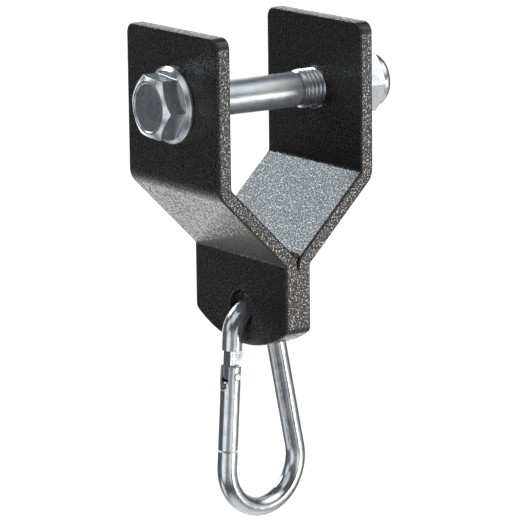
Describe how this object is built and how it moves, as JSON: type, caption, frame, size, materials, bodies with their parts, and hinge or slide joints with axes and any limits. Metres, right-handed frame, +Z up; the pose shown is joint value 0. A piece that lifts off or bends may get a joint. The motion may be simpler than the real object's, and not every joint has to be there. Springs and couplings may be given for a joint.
{
  "type": "beam clamp",
  "caption": "Bolt-on beam clamp: two bent steel side plates welded into a hanging tab, a through bolt with lock nut, and a pear-shaped snap hook in the tab.",
  "frame": {"origin": "on the bolt axis, midway between the side plates' inner faces", "axes": "+X along the bolt from its head to its nut, +Y along the beam, +Z up, away from the snap hook"},
  "size_m": [0.1145, 0.065, 0.2084],
  "materials": {
    "black_hammertone": "fine black hammertone powder coat",
    "zinc_plate": "bright bluish zinc plating",
    "nylon": "blue nylon",
    "spring_steel": "bright drawn wire"
  },
  "bodies": {
    "bracket": {"head_side_plate": "black_hammertone", "nut_side_plate": "black_hammertone", "seam_welds": "black_hammertone", "valley_welds": "black_hammertone"},
    "bolt": {"flange_bolt": "zinc_plate"},
    "insert": {"nylon_insert": "nylon"},
    "nut": {"lock_nut": "zinc_plate"},
    "hook": {"hook_body": "zinc_plate"},
    "gate": {"hook_gate": "zinc_plate", "hinge_rivet": "zinc_plate", "gate_plunger": "zinc_plate", "gate_spring": "spring_steel", "gate_latch": "zinc_plate"}
  },
  "joints": [
    {"name": "bolt_turn", "type": "hinge", "parent": "bracket", "child": "bolt", "pos_m": [0, 0, 0], "axis": [1, 0, 0], "continuous": true},
    {"name": "nut_travel", "type": "slide", "parent": "bolt", "child": "insert", "axis": [-1, 0, 0], "range_m": [-0.01, 0.0107]},
    {"name": "nut_spin", "type": "hinge", "parent": "insert", "child": "nut", "pos_m": [0.0568, 0, 0], "axis": [-1, 0, 0], "range_deg": [-1800.5, 1926.5]},
    {"name": "hook_swing", "type": "hinge", "parent": "bracket", "child": "hook", "pos_m": [0, 0, -0.0881], "axis": [1, 0, 0], "range_deg": [-90, 90]},
    {"name": "gate_open", "type": "hinge", "parent": "hook", "child": "gate", "pos_m": [-0.01228, -0.00129, -0.11528], "axis": [0.1045, -0.9945, 0], "range_deg": [0, 22], "stiffness_Nm_per_rad": 0.1, "springref_deg": -22.92}
  ],
  "couplings": [
    {"joint": "nut_spin", "follows": "nut_travel", "rad_per_m": 3141.6}
  ]
}
